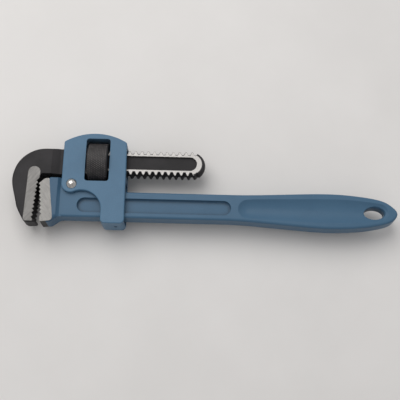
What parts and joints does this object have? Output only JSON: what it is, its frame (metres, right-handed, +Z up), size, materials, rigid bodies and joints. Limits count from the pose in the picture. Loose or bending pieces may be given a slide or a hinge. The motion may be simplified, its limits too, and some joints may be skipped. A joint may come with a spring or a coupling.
{
  "type": "pipe wrench",
  "caption": "Stillson pattern pipe wrench with a hung frame, a knurled adjusting nut, a threaded hook jaw and a flared I-beam handle with a hang hole.",
  "frame": {"origin": "bottom centre of the bounding box with the wrench lying flat and the jaws closed", "axes": "+X along the handle to the grip's end, +Y across it to the hook jaw's shank, +Z up through the flat of the wrench"},
  "size_m": [0.3064, 0.0746, 0.033],
  "materials": {
    "handle_paint": "satin blue paint over a fine cast surface",
    "frame_paint": "satin blue paint",
    "hook_black": "black oxide, with ground bright tooth pads and thread rims",
    "nut_black": "black oxide, diamond knurl",
    "ground_steel": "coarse ground steel",
    "rivet_steel": "smooth bright steel",
    "spring_steel": "blued spring steel",
    "pin_steel": "plain steel"
  },
  "bodies": {
    "handle": {"handle": "handle_paint", "heel_jaw": "ground_steel", "heel_jaw_pin": "pin_steel", "frame_rivet": "rivet_steel"},
    "frame": {"frame": "frame_paint", "roof_spring": "spring_steel", "roof_spring_rivet": "pin_steel", "bridge_spring": "spring_steel", "bridge_spring_rivet": "pin_steel"},
    "nut": {"adjusting_nut": "nut_black"},
    "hook_jaw": {"hook_jaw": "hook_black"}
  },
  "joints": [
    {"name": "frame_pivot", "type": "hinge", "parent": "handle", "child": "frame", "pos_m": [-0.10486, -0.00555, 0.0165], "axis": [0, 0, 1], "range_deg": [0, 2.5], "stiffness_Nm_per_rad": 8, "springref_deg": -1.72, "deforming": ["bridge_spring"]},
    {"name": "hook_slide", "type": "slide", "parent": "frame", "child": "hook_jaw", "axis": [-1, 0, 0], "range_m": [0, 0.058]},
    {"name": "nut_spin", "type": "hinge", "parent": "frame", "child": "nut", "pos_m": [-0.08551, 0.01495, 0.0165], "axis": [1, 0, 0], "range_deg": [0, 4115]}
  ],
  "couplings": [
    {"joint": "nut_spin", "follows": "hook_slide", "rad_per_m": 1236.8}
  ]
}
